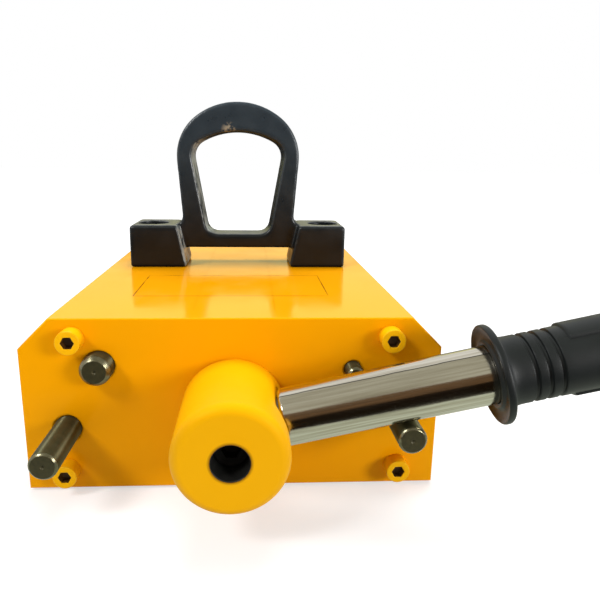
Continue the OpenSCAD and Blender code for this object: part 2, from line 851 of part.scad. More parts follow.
// Rubber grip: guard, ring grooves and two raised pads, above and below
module grip() {
    color("#34393a")
    on_lever() {
        rotate_extrude() grip_profile();
        for (turn = [0, 180]) {
            rotate([0, 0, turn - pad_angle / 2])
                rotate_extrude(angle = pad_angle)
                    translate([grip_r - pad_t, pad_start]) square([2 * pad_t, pad_end - pad_start]);
        }
    }
}

left_pole();
right_pole();
bridge_strip();
brass_spacer();
fixed_magnets();
front_plate();
rear_plate();
front_bush();
rear_bush();
shaft_seal();
front_plate_screws();
rear_plate_screws();
left_dowel();
right_dowel();
on_stop_pin();
off_stop_pin();
lifting_eye();
eye_screws();
rotor_left_pole();
rotor_right_pole();
rotor_magnets();
front_shaft();
rear_shaft();
rotor_screws();
drive_key();
hub();
hub_washer();
hub_screw();
lever_rod();
lever_tube();
grip();
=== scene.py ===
import math

import bmesh
import bpy
from mathutils import Matrix, Vector


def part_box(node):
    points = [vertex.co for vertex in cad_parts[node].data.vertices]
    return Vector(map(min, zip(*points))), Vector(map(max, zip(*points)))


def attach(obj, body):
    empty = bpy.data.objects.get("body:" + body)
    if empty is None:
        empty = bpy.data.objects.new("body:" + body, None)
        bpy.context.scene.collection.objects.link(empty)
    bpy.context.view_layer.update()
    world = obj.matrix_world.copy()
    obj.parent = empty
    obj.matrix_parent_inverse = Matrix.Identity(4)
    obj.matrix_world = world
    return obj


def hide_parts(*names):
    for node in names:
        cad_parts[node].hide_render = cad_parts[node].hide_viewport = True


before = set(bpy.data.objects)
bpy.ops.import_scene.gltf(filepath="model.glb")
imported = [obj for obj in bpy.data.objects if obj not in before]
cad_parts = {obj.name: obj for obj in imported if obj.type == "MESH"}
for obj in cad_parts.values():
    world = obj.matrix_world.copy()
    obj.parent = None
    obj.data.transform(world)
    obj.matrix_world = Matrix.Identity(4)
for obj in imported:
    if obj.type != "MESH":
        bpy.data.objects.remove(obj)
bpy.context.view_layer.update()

# Pole blocks and bridge strip: two steel blocks with a non-magnetic strip between them along the top.
# They are machined, screwed between the end plates and sprayed as one body, so no seam shows in the paint.
# The ground pole faces underneath stay bare.
MM = 0.001
plate_low, plate_high = (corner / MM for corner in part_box("front_plate"))
strip_low, strip_high = (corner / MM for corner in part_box("bridge_strip"))
HALF_W, FOOT_Z, TOP_Z = plate_high.x, plate_low.z, plate_high.z
JOINT_X, JOINT_Y = strip_high.x, -plate_high.y
FIT = 0.1


def linear(code):
    # sRGB hex to the linear colour that a socket takes.
    parts = [int(code[i:i + 2], 16) / 255 for i in (1, 3, 5)]
    return [c / 12.92 if c <= 0.04045 else ((c + 0.055) / 1.055) ** 2.4 for c in parts] + [1.0]


def every(size_mm):
    # Noise scale that gives spots of about this size.
    return 1 / (size_mm * MM)


def add(tree, kind, settings, links):
    # Adds a node with its settings; each input gets a link or a constant.
    node = tree.nodes.new(kind)
    for key, value in settings.items():
        setattr(node, key, value)
    for key, value in links.items():
        if isinstance(value, bpy.types.NodeSocket):
            tree.links.new(value, node.inputs[key])
        else:
            node.inputs[key].default_value = value
    return node


def start_finish(name):
    # New material with its shader, and the place on the object in metres.
    finish = bpy.data.materials.new(name)
    finish.use_nodes = True
    tree = finish.node_tree
    place = add(tree, "ShaderNodeTexCoord", {}, {}).outputs["Object"]
    return finish, tree, tree.nodes["Principled BSDF"], place


def edge_mask(tree, radius_mm):
    # Rounded normal near an edge, and how far it turns from the face: 0 on a flat, 1 on the edge itself.
    rounded = add(tree, "ShaderNodeBevel", {"samples": 6}, {"Radius": radius_mm * MM}).outputs["Normal"]
    face = add(tree, "ShaderNodeNewGeometry", {}, {}).outputs["Normal"]
    turn = add(tree, "ShaderNodeVectorMath", {"operation": "DOT_PRODUCT"}, {0: rounded, 1: face})
    near = add(tree, "ShaderNodeMapRange", {},
               {"Value": turn.outputs["Value"], "From Min": 0.995, "From Max": 0.86})
    return rounded, near.outputs["Result"]


def enamel(name, body_code, thin_code, worn_code, gloss):
    # Sprayed enamel on steel: a slow drift in the film, a faint orange peel, thinner paint along the edges.
    # The paint bridges the joints beside the strip and behind the plates, so those edges stay flat.
    # Real orange peel is about 1 mm across; it is drawn 2.2 mm across so that it shows.
    finish, tree, shader, place = start_finish(name)
    drift = add(tree, "ShaderNodeTexNoise", {}, {"Vector": place, "Scale": every(55), "Detail": 3.0})
    colour = add(tree, "ShaderNodeMix", {"data_type": "RGBA"},
                 {0: drift.outputs["Fac"], 6: linear(body_code), 7: linear(thin_code)})
    bevelled, edges = edge_mask(tree, 0.9)
    axes = add(tree, "ShaderNodeSeparateXYZ", {}, {"Vector": place})
    open_edge = []
    for axis, joint_mm in (("X", JOINT_X), ("Y", JOINT_Y)):
        size = add(tree, "ShaderNodeMath", {"operation": "ABSOLUTE"}, {0: axes.outputs[axis]})
        away = add(tree, "ShaderNodeMath", {"operation": "SUBTRACT"},
                   {0: size.outputs["Value"], 1: joint_mm * MM})
        gap = add(tree, "ShaderNodeMath", {"operation": "ABSOLUTE"}, {0: away.outputs["Value"]})
        clear = add(tree, "ShaderNodeMapRange", {},
                    {"Value": gap.outputs["Value"], "From Min": 1.2 * MM, "From Max": 1.6 * MM})
        open_edge.append(clear.outputs["Result"])
    below = add(tree, "ShaderNodeMath", {"operation": "LESS_THAN"},
                {0: axes.outputs["Z"], 1: (strip_low.z - 4) * MM})
    off_strip = add(tree, "ShaderNodeMath", {"operation": "MAXIMUM"},
                    {0: open_edge[0], 1: below.outputs["Value"]})
    no_joint = add(tree, "ShaderNodeMath", {"operation": "MULTIPLY"},
                   {0: off_strip.outputs["Value"], 1: open_edge[1]}).outputs["Value"]
    near_edge = add(tree, "ShaderNodeMath", {"operation": "MULTIPLY"}, {0: edges, 1: no_joint})
    flat = add(tree, "ShaderNodeNewGeometry", {}, {}).outputs["Normal"]
    rounded = add(tree, "ShaderNodeMix", {"data_type": "VECTOR"}, {0: no_joint, 4: flat, 5: bevelled})
    patchy = add(tree, "ShaderNodeTexNoise", {}, {"Vector": place, "Scale": every(4), "Detail": 4.0})
    rubbed = add(tree, "ShaderNodeMapRange", {},
                 {"Value": patchy.outputs["Fac"], "From Min": 0.42, "From Max": 0.62, "To Max": 0.7})
    wear = add(tree, "ShaderNodeMath", {"operation": "MULTIPLY"},
               {0: near_edge.outputs["Value"], 1: rubbed.outputs["Result"]})
    worn = add(tree, "ShaderNodeMix", {"data_type": "RGBA"},
               {0: wear.outputs["Value"], 6: colour.outputs[2], 7: linear(worn_code)})
    smears = add(tree, "ShaderNodeTexNoise", {}, {"Vector": place, "Scale": every(18), "Detail": 5.0})
    rough = add(tree, "ShaderNodeMapRange", {},
                {"Value": smears.outputs["Fac"], "From Min": 0.3, "From Max": 0.7,
                 "To Min": gloss - 0.05, "To Max": gloss + 0.07})
    tree.links.new(rough.outputs["Result"], shader.inputs["Roughness"])
    peel = add(tree, "ShaderNodeTexNoise", {}, {"Vector": place, "Scale": every(2.2), "Detail": 2.0})
    wave = add(tree, "ShaderNodeTexNoise", {}, {"Vector": place, "Scale": every(30), "Detail": 1.0})
    skin = add(tree, "ShaderNodeBump", {},
               {"Strength": 0.25, "Distance": 0.02 * MM, "Height": peel.outputs["Fac"],
                "Normal": rounded.outputs[1]})
    film = add(tree, "ShaderNodeBump", {},
               {"Strength": 0.3, "Distance": 0.2 * MM, "Height": wave.outputs["Fac"],
                "Normal": skin.outputs["Normal"]})
    tree.links.new(film.outputs["Normal"], shader.inputs["Normal"])
    shader.inputs["Specular IOR Level"].default_value = 0.35
    shader.inputs["Specular Tint"].default_value = linear("#FFCB55")
    return finish, tree, shader, place, worn.outputs[2]


# Orange-yellow enamel of the body, glossy enough to mirror what stands on it.
# A thin brown line, printed and partly rubbed off, frames an empty panel on the top face before the eye.
orange, orange_tree, orange_shader, orange_place, orange_colour = enamel(
    "orange_enamel", "#F8A703", "#F3A002", "#FFC030", 0.12)
panel_centre = (-2.4 * MM, -77.5 * MM, 0)
panel_half = (57.7 * MM, 28.5 * MM)
panel_line = 0.45 * MM
at = add(orange_tree, "ShaderNodeVectorMath", {"operation": "SUBTRACT"}, {0: orange_place, 1: panel_centre})
out = add(orange_tree, "ShaderNodeVectorMath", {"operation": "ABSOLUTE"}, {0: at.outputs["Vector"]})
axes = add(orange_tree, "ShaderNodeSeparateXYZ", {}, {"Vector": out.outputs["Vector"]})
side_x = add(orange_tree, "ShaderNodeMath", {"operation": "SUBTRACT"},
             {0: axes.outputs["X"], 1: panel_half[0]})
side_y = add(orange_tree, "ShaderNodeMath", {"operation": "SUBTRACT"},
             {0: axes.outputs["Y"], 1: panel_half[1]})
rim = add(orange_tree, "ShaderNodeMath", {"operation": "MAXIMUM"},
          {0: side_x.outputs["Value"], 1: side_y.outputs["Value"]})
rim_gap = add(orange_tree, "ShaderNodeMath", {"operation": "ABSOLUTE"}, {0: rim.outputs["Value"]})
on_line = add(orange_tree, "ShaderNodeMapRange", {},
              {"Value": rim_gap.outputs["Value"], "From Min": panel_line, "From Max": 0.5 * panel_line})
on_top = add(orange_tree, "ShaderNodeMapRange", {},
             {"Value": axes.outputs["Z"], "From Min": (TOP_Z - 0.3) * MM, "From Max": (TOP_Z - 0.1) * MM})
faded = add(orange_tree, "ShaderNodeTexNoise", {},
            {"Vector": orange_place, "Scale": every(16), "Detail": 4.0})
kept = add(orange_tree, "ShaderNodeMapRange", {},
           {"Value": faded.outputs["Fac"], "From Min": 0.38, "From Max": 0.56,
            "To Min": 0.15, "To Max": 0.85})
line_there = add(orange_tree, "ShaderNodeMath", {"operation": "MULTIPLY"},
                 {0: on_line.outputs["Result"], 1: on_top.outputs["Result"]})
line_ink = add(orange_tree, "ShaderNodeMath", {"operation": "MULTIPLY"},
               {0: line_there.outputs["Value"], 1: kept.outputs["Result"]})
inked = add(orange_tree, "ShaderNodeMix", {"data_type": "RGBA"},
            {0: line_ink.outputs["Value"], 6: orange_colour, 7: linear("#6A3A06")})
orange_tree.links.new(inked.outputs[2], orange_shader.inputs["Base Color"])


def ground_metal(name, stain_mm, stain_detail, code, stain_code, smooth, rough):
    # Bare metal from the surface grinder: fine lines along the length, and soft stains from oil and air.
    # Real grinding lines are a few hundredths wide; they are drawn 0.8 mm wide so that they show.
    finish, tree, shader, place = start_finish(name)
    lines = add(tree, "ShaderNodeMapping", {}, {"Vector": place, "Scale": (1.0, 0.02, 1.0)})
    grind = add(tree, "ShaderNodeTexNoise", {},
                {"Vector": lines.outputs["Vector"], "Scale": every(0.8), "Detail": 3.0})
    stain = add(tree, "ShaderNodeTexNoise", {},
                {"Vector": place, "Scale": every(stain_mm), "Detail": stain_detail})
    tone = add(tree, "ShaderNodeMix", {"data_type": "RGBA"},
               {0: stain.outputs["Fac"], 6: linear(code), 7: linear(stain_code)})
    tree.links.new(tone.outputs[2], shader.inputs["Base Color"])
    sheen = add(tree, "ShaderNodeMapRange", {},
                {"Value": grind.outputs["Fac"], "To Min": smooth, "To Max": rough})
    tree.links.new(sheen.outputs["Result"], shader.inputs["Roughness"])
    shader.inputs["Metallic"].default_value = 1.0
    return finish, tree, shader, grind.outputs["Fac"]


# Ground steel of the pole faces: bright grey, lined along its length, with a little oil stain.
ground, ground_tree, ground_shader, ground_lines = ground_metal(
    "ground_steel", 40, 6.0, "#A9A8A2", "#7F7B70", 0.28, 0.5)
ground_bump = add(ground_tree, "ShaderNodeBump", {},
                  {"Strength": 0.3, "Distance": 0.02 * MM, "Height": ground_lines})
ground_tree.links.new(ground_bump.outputs["Normal"], ground_shader.inputs["Normal"])


def from_cad(node):
    # Copy of a solid, its loose triangles merged back into whole faces.
    bm = bmesh.new()
    bm.from_mesh(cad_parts[node].data)
    bmesh.ops.remove_doubles(bm, verts=bm.verts, dist=0.002 * MM)
    bmesh.ops.dissolve_limit(bm, angle_limit=math.radians(0.3), verts=bm.verts, edges=bm.edges)
    return bm


def round_edges(bm, width_mm, segments, wanted=lambda middle: True, sharp_deg=28):
    # Rounds the sharp edges whose middle, in millimetres, is wanted.
    edges = [e for e in bm.edges
             if len(e.link_faces) == 2 and e.calc_face_angle(0) > math.radians(sharp_deg)
             and wanted((e.verts[0].co + e.verts[1].co) / 2 / MM)]
    bmesh.ops.bevel(bm, geom=edges, offset=width_mm * MM, offset_type="OFFSET", segments=segments,
                    profile=0.5, affect="EDGES", material=-1, clamp_overlap=True)


def make_piece(bm, name, body, finishes, stands_for):
    # Finished piece that moves with its body and stands in for its solids.
    bmesh.ops.recalc_face_normals(bm, faces=bm.faces)
    for face in bm.faces:
        face.smooth = True
    mesh = bpy.data.meshes.new(name)
    bm.to_mesh(mesh)
    bm.free()
    mesh.set_sharp_from_angle(angle=math.radians(40))
    for finish in finishes:
        mesh.materials.append(finish)
    piece = bpy.data.objects.new(name, mesh)
    bpy.context.scene.collection.objects.link(piece)
    even = piece.modifiers.new("even_shading", "WEIGHTED_NORMAL")
    even.keep_sharp = True
    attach(piece, body)
    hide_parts(*stands_for)
    return piece


for pole in ("left_pole", "right_pole"):
    bm = from_cad(pole)
    round_edges(bm, 0.5, 2, lambda m: abs(m.z) < 0.1 and abs(m.x) > HALF_W - 1)
    for face in bm.faces:
        face.material_index = 1 if face.calc_center_median().z < 0.05 * MM else 0
    make_piece(bm, pole + "_block", "housing", [orange, ground], [pole])
# The paint fills the joints beside the strip, so the strip is widened by the fit.
bm = from_cad("bridge_strip")
bmesh.ops.scale(bm, vec=(JOINT_X / (JOINT_X - FIT), 1, 1), verts=bm.verts)
make_piece(bm, "top_bridge_strip", "housing", [orange], ["bridge_strip"])

# Brass strip: a flat bar fixed between the two pole blocks underneath, and ground level with their faces.
# It keeps its solid from the frame. The brass shows yellow, lined like the steel and browned by tarnish.
brass = ground_metal("ground_brass", 25, 5.0, "#D7B566", "#A37B38", 0.25, 0.45)[0]
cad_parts["brass_spacer"].data.materials.clear()
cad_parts["brass_spacer"].data.materials.append(brass)

# Inner works: fixed magnets, bushes, seal, key, and the rotor with its shafts, screws and lever rod.
# They are turned, sawn and ground parts, screwed or pressed together and hidden in the body and the hub.
# They keep their solids from the frame.


def mottled(name, spot_mm, detail, code, other_code):
    # Two near tones of one surface in soft spots.
    finish, tree, shader, place = start_finish(name)
    spots = add(tree, "ShaderNodeTexNoise", {},
                {"Vector": place, "Scale": every(spot_mm), "Detail": detail})
    tone = add(tree, "ShaderNodeMix", {"data_type": "RGBA"},
               {0: spots.outputs["Fac"], 6: linear(code), 7: linear(other_code)})
    tree.links.new(tone.outputs[2], shader.inputs["Base Color"])
    return finish, tree, shader, spots.outputs["Fac"]


# Nickel plate on the magnets: a warm white metal, faintly clouded.
nickel, _, nickel_shader, _ = mottled("nickel_plate", 12, 4.0, "#C9C6BD", "#A6A299")
nickel_shader.inputs["Metallic"].default_value = 1.0
nickel_shader.inputs["Roughness"].default_value = 0.3

# Turned steel: plain grey metal, half dull. Its tool marks are drawn 0.9 mm wide, coarser than real, to show.
turned, turned_tree, turned_shader, tool_marks = mottled("turned_steel", 0.9, 2.0, "#9A978E", "#77736A")
turned_rough = add(turned_tree, "ShaderNodeMapRange", {},
                   {"Value": tool_marks, "To Min": 0.28, "To Max": 0.48})
turned_tree.links.new(turned_rough.outputs["Result"], turned_shader.inputs["Roughness"])
turned_shader.inputs["Metallic"].default_value = 1.0

# Oil-filled sintered bronze: a dull brown gold, speckled by pores that are drawn 0.7 mm wide to show.
bronze, _, bronze_shader, _ = mottled("oiled_bronze", 0.7, 3.0, "#B58A4C", "#8A6230")
bronze_shader.inputs["Metallic"].default_value = 1.0
bronze_shader.inputs["Roughness"].default_value = 0.38

# Black oxide on screw steel: a thin blackening, blotchy and half dull, with a little metal shine left.
# The same black lines the holes round the front pins and in the hub, as painted shade inside them.
oxide_and_hole_shade, oxide_tree, oxide_shader, blotch = mottled("black_oxide_and_hole_shade", 3, 4.0, "#1D1E20", "#36352F")
oxide_rough = add(oxide_tree, "ShaderNodeMapRange", {}, {"Value": blotch, "To Min": 0.35, "To Max": 0.6})
oxide_tree.links.new(oxide_rough.outputs["Result"], oxide_shader.inputs["Roughness"])
oxide_shader.inputs["Metallic"].default_value = 0.6

# Moulded rubber of the seal: matt black, with a grain that is drawn 0.5 mm wide so that it shows.
lip, _, lip_shader, _ = mottled("seal_rubber", 0.5, 2.0, "#1A1A1A", "#262524")
lip_shader.inputs["Roughness"].default_value = 0.6

for node, finish in (("fixed_magnets", nickel), ("rotor_magnets", nickel), ("rotor_left_pole", turned),
                     ("rotor_right_pole", turned), ("front_shaft", turned), ("rear_shaft", turned),
                     ("drive_key", turned), ("hub_washer", turned), ("lever_rod", turned),
                     ("front_bush", bronze), ("rear_bush", bronze), ("rotor_screws", oxide_and_hole_shade),
                     ("hub_screw", oxide_and_hole_shade), ("shaft_seal", lip)):
    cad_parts[node].data.materials.clear()
    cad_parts[node].data.materials.append(finish)

# End plates: cut from plate and painted with the body. The outer edges are broken by hand before painting.
# The front one is drilled and countersunk for the pins before painting; inside, the holes are painted dark as
# the shade in the narrow gap round each pin.
FACE_Y = plate_low.y
TOP_BEVEL = 16.3


def on_outline(middle):
    # Whether an edge's middle lies on the plate's outline: sides, foot, top or the two top bevels.
    return (abs(middle.x) > HALF_W - 1 or middle.z < FOOT_Z + 0.5 or middle.z > TOP_Z - 0.1
            or abs(middle.x) + middle.z > HALF_W + TOP_Z - TOP_BEVEL - 0.5)


def pin_circle(node):
    # Middle across and up, and radius, of a round pin that points along Y.
    low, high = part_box(node)
    return (low.x + high.x) / 2, (low.z + high.z) / 2, (high.x - low.x) / 2


PINS = {"left_dowel": "large_dowel", "right_dowel": "small_dowel",
        "on_stop_pin": "on_side_stop", "off_stop_pin": "off_side_stop"}
bm = from_cad("front_plate")
round_edges(bm, 0.9, 3, lambda m: m.y < FACE_Y + 0.1 and on_outline(m))
pin_circles = [pin_circle(node) for node in PINS]
# Painted shade: the hole walls round the pins take the dark oxide finish.
for face in bm.faces:
    for x, z, r in pin_circles:
        if all(math.hypot(v.co.x - x, v.co.z - z) < r + 0.3 * MM for v in face.verts):
            face.material_index = 1
make_piece(bm, "front_end_plate", "housing", [orange, oxide_and_hole_shade], ["front_plate"])
bm = from_cad("rear_plate")
round_edges(bm, 0.9, 3, lambda m: m.y > -FACE_Y - 0.1 and on_outline(m))
make_piece(bm, "rear_end_plate", "housing", [orange], ["rear_plate"])

# Plate screws: steel socket head screws that hold the end plates, painted over with them.
# The sockets are dark with old paint and grease, and painted darker still as the shade in the recess.
HEAD_Y = -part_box("front_plate_screws")[0].y / MM
SOCKET_REACH, SOCKET_DEPTH = 3.6, 4.2
screw_places = [(side * x, z) for side in (-1, 1)
                for x, z in ((HALF_W - 28.0, TOP_Z - 10.5), (HALF_W - 21.5, FOOT_Z + 11.0))]

# Old paint and grease in the sockets, with the shade of the recess painted in: brown to black, half dull.
grime_and_socket_shade, _, grime_shader, _ = mottled("grease_and_painted_socket_shade", 1.5, 4.0, "#2A1B08", "#6A430C")
grime_shader.inputs["Roughness"].default_value = 0.5

# The same enamel where it lies thick on the heads: paler and softer in its shine than on the plates.
pale, pale_tree, pale_shader, _, pale_colour = enamel(
    "screw_enamel", "#FBB90A", "#F6B206", "#FFD050", 0.3)
pale_tree.links.new(pale_colour, pale_shader.inputs["Base Color"])
for node in ("front_plate_screws", "rear_plate_screws"):
    bm = from_cad(node)
    round_edges(bm, 0.6, 3, lambda m: abs(abs(m.y) - HEAD_Y) < 0.05)
    for face in bm.faces:
        reach = max(min(math.hypot(v.co.x / MM - x, v.co.z / MM - z) for x, z in screw_places)
                    for v in face.verts)
        depth = HEAD_Y - abs(face.calc_center_median().y) / MM
        face.material_index = 1 if reach < SOCKET_REACH and 0.3 < depth < SOCKET_DEPTH else 0
    make_piece(bm, node.replace("plate_screws", "cap_screws"), "housing", [pale, grime_and_socket_shade], [node])

# Pins: a large and a small dowel above, a long stop pin for the lever on each side.
# Hardened, ground, driven into the pole blocks and left oiled; the ends are bevelled with a centre mark.

# Oiled ground steel: olive grey. Grinding marks round the pin draw each light into a bright line along it.
pin_steel, pin_tree, pin_shader, pin_oil = mottled("oiled_ground_steel", 7, 4.0, "#6A6A52", "#424126")
pin_rough = add(pin_tree, "ShaderNodeMapRange", {},
                {"Value": pin_oil, "From Min": 0.3, "From Max": 0.7, "To Min": 0.42, "To Max": 0.5})
pin_tree.links.new(pin_rough.outputs["Result"], pin_shader.inputs["Roughness"])
pin_way = add(pin_tree, "ShaderNodeNewGeometry", {}, {})
pin_round = add(pin_tree, "ShaderNodeVectorMath", {"operation": "CROSS_PRODUCT"},
                {0: pin_way.outputs["Normal"], 1: (0.0, 1.0, 0.0)})
pin_tree.links.new(pin_round.outputs["Vector"], pin_shader.inputs["Tangent"])
pin_shader.inputs["Anisotropic"].default_value = 1.0
pin_shader.inputs["Anisotropic Rotation"].default_value = 0.25
pin_shader.inputs["Metallic"].default_value = 0.85

# Sawn ends, oiled: dark olive and dull, because oil and dirt stay in the saw marks.
sawn, _, sawn_shader, _ = mottled("oiled_sawn_end", 1.8, 5.0, "#2A2713", "#4B4527")
sawn_shader.inputs["Metallic"].default_value = 0.4
sawn_shader.inputs["Roughness"].default_value = 0.45

# Bevels rubbed bright by handling: a paler, shinier ring round each end, its paler tone partly a painted
# highlight.
rubbed, _, bevel_wear_and_highlight_shader, _ = mottled("rubbed_bevel_and_painted_highlight", 2.5, 4.0, "#4C4934", "#918C72")
bevel_wear_and_highlight_shader.inputs["Metallic"].default_value = 0.9
bevel_wear_and_highlight_shader.inputs["Roughness"].default_value = 0.25
PIN_BEVEL = 2.1
for node, name in PINS.items():
    bm = from_cad(node)
    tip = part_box(node)[0].y
    pin_x, pin_z, pin_r = pin_circle(node)
    round_edges(bm, 0.3, 2)
    for face in bm.faces:
        spot = face.calc_center_median()
        if spot.y < tip + PIN_BEVEL * MM and face.normal.y < -0.3:
            off_centre = math.hypot(spot.x - pin_x, spot.z - pin_z) > 0.5 * pin_r
            face.material_index = 2 if off_centre and face.normal.y > -0.9 else 1
    make_piece(bm, name, "housing", [pin_steel, sawn, rubbed], [node])

# Lifting eye: a steel casting with soft edges, painted black, rubbed bare where hooks have knocked it.
# It stands on two feet. Recesses bored in them after casting take the screws that hold it to the pole blocks.
VOXEL, SMOOTHINGS = 0.95, 7
HEAD_R = 11.0
BORE_X, BORE_R, BORE_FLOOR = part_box("eye_screws")[1].x / MM - HEAD_R, HEAD_R + 0.25, TOP_Z + 14.0
bm = from_cad("lifting_eye")
rough_mesh = bpy.data.meshes.new("eye_pattern")
bm.to_mesh(rough_mesh)
bm.free()
pattern = bpy.data.objects.new("eye_pattern", rough_mesh)
bpy.context.scene.collection.objects.link(pattern)
mould = pattern.modifiers.new("mould", "REMESH")
mould.mode = "VOXEL"
mould.voxel_size = VOXEL * MM
bpy.context.view_layer.update()
poured = bpy.data.meshes.new_from_object(pattern.evaluated_get(bpy.context.evaluated_depsgraph_get()))
bpy.data.objects.remove(pattern)
bm = bmesh.new()
bm.from_mesh(poured)
for _ in range(SMOOTHINGS):
    bmesh.ops.smooth_vert(bm, verts=bm.verts, factor=0.5, use_axis_x=True, use_axis_y=True, use_axis_z=True)
# The smoothing softens the bored recesses too, so their walls are set back on a true circle.
for vert in bm.verts:
    axis = Vector((math.copysign(BORE_X, vert.co.x) * MM, 0))
    reach = vert.co.xy - axis
    if reach.length < (BORE_R + 0.35) * MM and vert.co.z > (BORE_FLOOR + 0.8) * MM:
        vert.co.xy = axis + reach.normalized() * BORE_R * MM

# Black paint on a sand casting: blue-black, uneven in its shine, with a soft grain. Its colour is painted
# darker low down and lighter toward the crown, as painted shade and light.
# Real sand grain is about 0.3 mm; it is drawn 2.4 mm wide so that it shows.
cast, cast_tree, cast_shader, cast_place = start_finish("black_paint_on_casting")
_, cast_edge = edge_mask(cast_tree, 2.2)
sand = add(cast_tree, "ShaderNodeTexNoise", {}, {"Vector": cast_place, "Scale": every(2.4), "Detail": 4.0})
lumps = add(cast_tree, "ShaderNodeTexNoise", {}, {"Vector": cast_place, "Scale": every(14), "Detail": 3.0})
cast_axes = add(cast_tree, "ShaderNodeSeparateXYZ", {}, {"Vector": cast_place})
foot_z, foot_top_z, neck_z, crown_z = 112 * MM, 134 * MM, 150 * MM, 195 * MM
# Painted light and shade: the base colour darkens toward the feet and lightens toward the crown.
painted_light_ramp = add(cast_tree, "ShaderNodeMapRange", {},
                  {"Value": cast_axes.outputs["Z"], "From Min": foot_z, "From Max": crown_z})
cast_shade = add(cast_tree, "ShaderNodeMix", {"data_type": "RGBA"},
                 {0: painted_light_ramp.outputs["Result"], 6: linear("#0A0D0F"), 7: linear("#1F2A32")})
cast_light = add(cast_tree, "ShaderNodeMix", {"data_type": "RGBA"},
                 {0: painted_light_ramp.outputs["Result"], 6: linear("#121517"), 7: linear("#2C3841")})
cast_tone = add(cast_tree, "ShaderNodeMix", {"data_type": "RGBA"},
                {0: lumps.outputs["Fac"], 6: cast_shade.outputs[2], 7: cast_light.outputs[2]})

# Edges are rubbed grey, chipped to bare metal here and there, and most of all where the hook bears.
knocks = add(cast_tree, "ShaderNodeTexNoise", {}, {"Vector": cast_place, "Scale": every(6), "Detail": 6.0})
chipped = add(cast_tree, "ShaderNodeMapRange", {},
              {"Value": knocks.outputs["Fac"], "From Min": 0.6, "From Max": 0.66})
chips = add(cast_tree, "ShaderNodeMath", {"operation": "MULTIPLY"},
            {0: chipped.outputs["Result"], 1: cast_edge})
rubbed_edge = add(cast_tree, "ShaderNodeMix", {"data_type": "RGBA"},
                  {0: cast_edge, 6: cast_tone.outputs[2], 7: linear("#2E3334")})
hook_spot = (-6.5 * MM, -13.0 * MM, 196.0 * MM)
hook_mark = add(cast_tree, "ShaderNodeVectorMath", {"operation": "DISTANCE"}, {0: cast_place, 1: hook_spot})
hook_near = add(cast_tree, "ShaderNodeMapRange", {},
                {"Value": hook_mark.outputs["Value"], "From Min": 6.0 * MM, "From Max": 2.0 * MM})
hook_ragged = add(cast_tree, "ShaderNodeMapRange", {},
                  {"Value": sand.outputs["Fac"], "From Min": 0.46, "From Max": 0.54})
hook_bare = add(cast_tree, "ShaderNodeMath", {"operation": "MULTIPLY"},
                {0: hook_near.outputs["Result"], 1: hook_ragged.outputs["Result"]})
bare = add(cast_tree, "ShaderNodeMath", {"operation": "MAXIMUM"},
           {0: chips.outputs["Value"], 1: hook_bare.outputs["Value"]})
chip_tone = add(cast_tree, "ShaderNodeMix", {"data_type": "RGBA"},
                {0: bare.outputs["Value"], 6: rubbed_edge.outputs[2], 7: linear("#8C8370")})

# Grey lies in patches on the tops of the feet: partly dust, partly a painted sheen for the light those tops
# catch.
cast_way = add(cast_tree, "ShaderNodeNewGeometry", {}, {})
cast_up = add(cast_tree, "ShaderNodeSeparateXYZ", {}, {"Vector": cast_way.outputs["Normal"]})
up_facing = add(cast_tree, "ShaderNodeMapRange", {},
            {"Value": cast_up.outputs["Z"], "From Min": 0.7, "From Max": 1.0})
foot_level = add(cast_tree, "ShaderNodeMapRange", {},
                 {"Value": cast_axes.outputs["Z"], "From Min": neck_z, "From Max": foot_top_z,
                  "To Min": 0.15})
dust_and_sheen_patch = add(cast_tree, "ShaderNodeMapRange", {},
                 {"Value": knocks.outputs["Fac"], "From Min": 0.36, "From Max": 0.6, "To Min": 0.35})
dust_and_sheen_there = add(cast_tree, "ShaderNodeMath", {"operation": "MULTIPLY"},
                 {0: up_facing.outputs["Result"], 1: foot_level.outputs["Result"]})
dust_and_sheen_mask = add(cast_tree, "ShaderNodeMath", {"operation": "MULTIPLY"},
                {0: dust_and_sheen_there.outputs["Value"], 1: dust_and_sheen_patch.outputs["Result"]})
dust_and_sheen_tone = add(cast_tree, "ShaderNodeMix", {"data_type": "RGBA"},
                {0: dust_and_sheen_mask.outputs["Value"], 6: chip_tone.outputs[2], 7: linear("#4A4C4A")})

# The left wall of the opening, which faces right, is pale in strokes that run up and down: partly hook
# scuffs, partly painted light falling from the right.
pale_wall_x, pale_wall_reach = -30 * MM, 22 * MM
pale_stroke_space = add(cast_tree, "ShaderNodeMapping", {}, {"Vector": cast_place, "Scale": (1.0, 1.0, 0.2)})
pale_strokes = add(cast_tree, "ShaderNodeTexNoise", {},
             {"Vector": pale_stroke_space.outputs["Vector"], "Scale": every(3), "Detail": 5.0})
pale_stroke_mask = add(cast_tree, "ShaderNodeMapRange", {},
              {"Value": pale_strokes.outputs["Fac"], "From Min": 0.4, "From Max": 0.6, "To Max": 0.75})
facing_right = add(cast_tree, "ShaderNodeMapRange", {},
                   {"Value": cast_up.outputs["X"], "From Min": 0.3, "From Max": 0.7})
left_band = add(cast_tree, "ShaderNodeMath", {"operation": "COMPARE"},
                {0: cast_axes.outputs["X"], 1: pale_wall_x, 2: pale_wall_reach})
inner_wear = add(cast_tree, "ShaderNodeMath", {"operation": "MULTIPLY"},
                 {0: facing_right.outputs["Result"], 1: left_band.outputs["Value"]})
scuff_and_light_mask = add(cast_tree, "ShaderNodeMath", {"operation": "MULTIPLY"},
                 {0: inner_wear.outputs["Value"], 1: pale_stroke_mask.outputs["Result"]})
scuff_and_light_tone = add(cast_tree, "ShaderNodeMix", {"data_type": "RGBA"},
                 {0: scuff_and_light_mask.outputs["Value"], 6: dust_and_sheen_tone.outputs[2], 7: linear("#A9B1AE")})
cast_tree.links.new(scuff_and_light_tone.outputs[2], cast_shader.inputs["Base Color"])

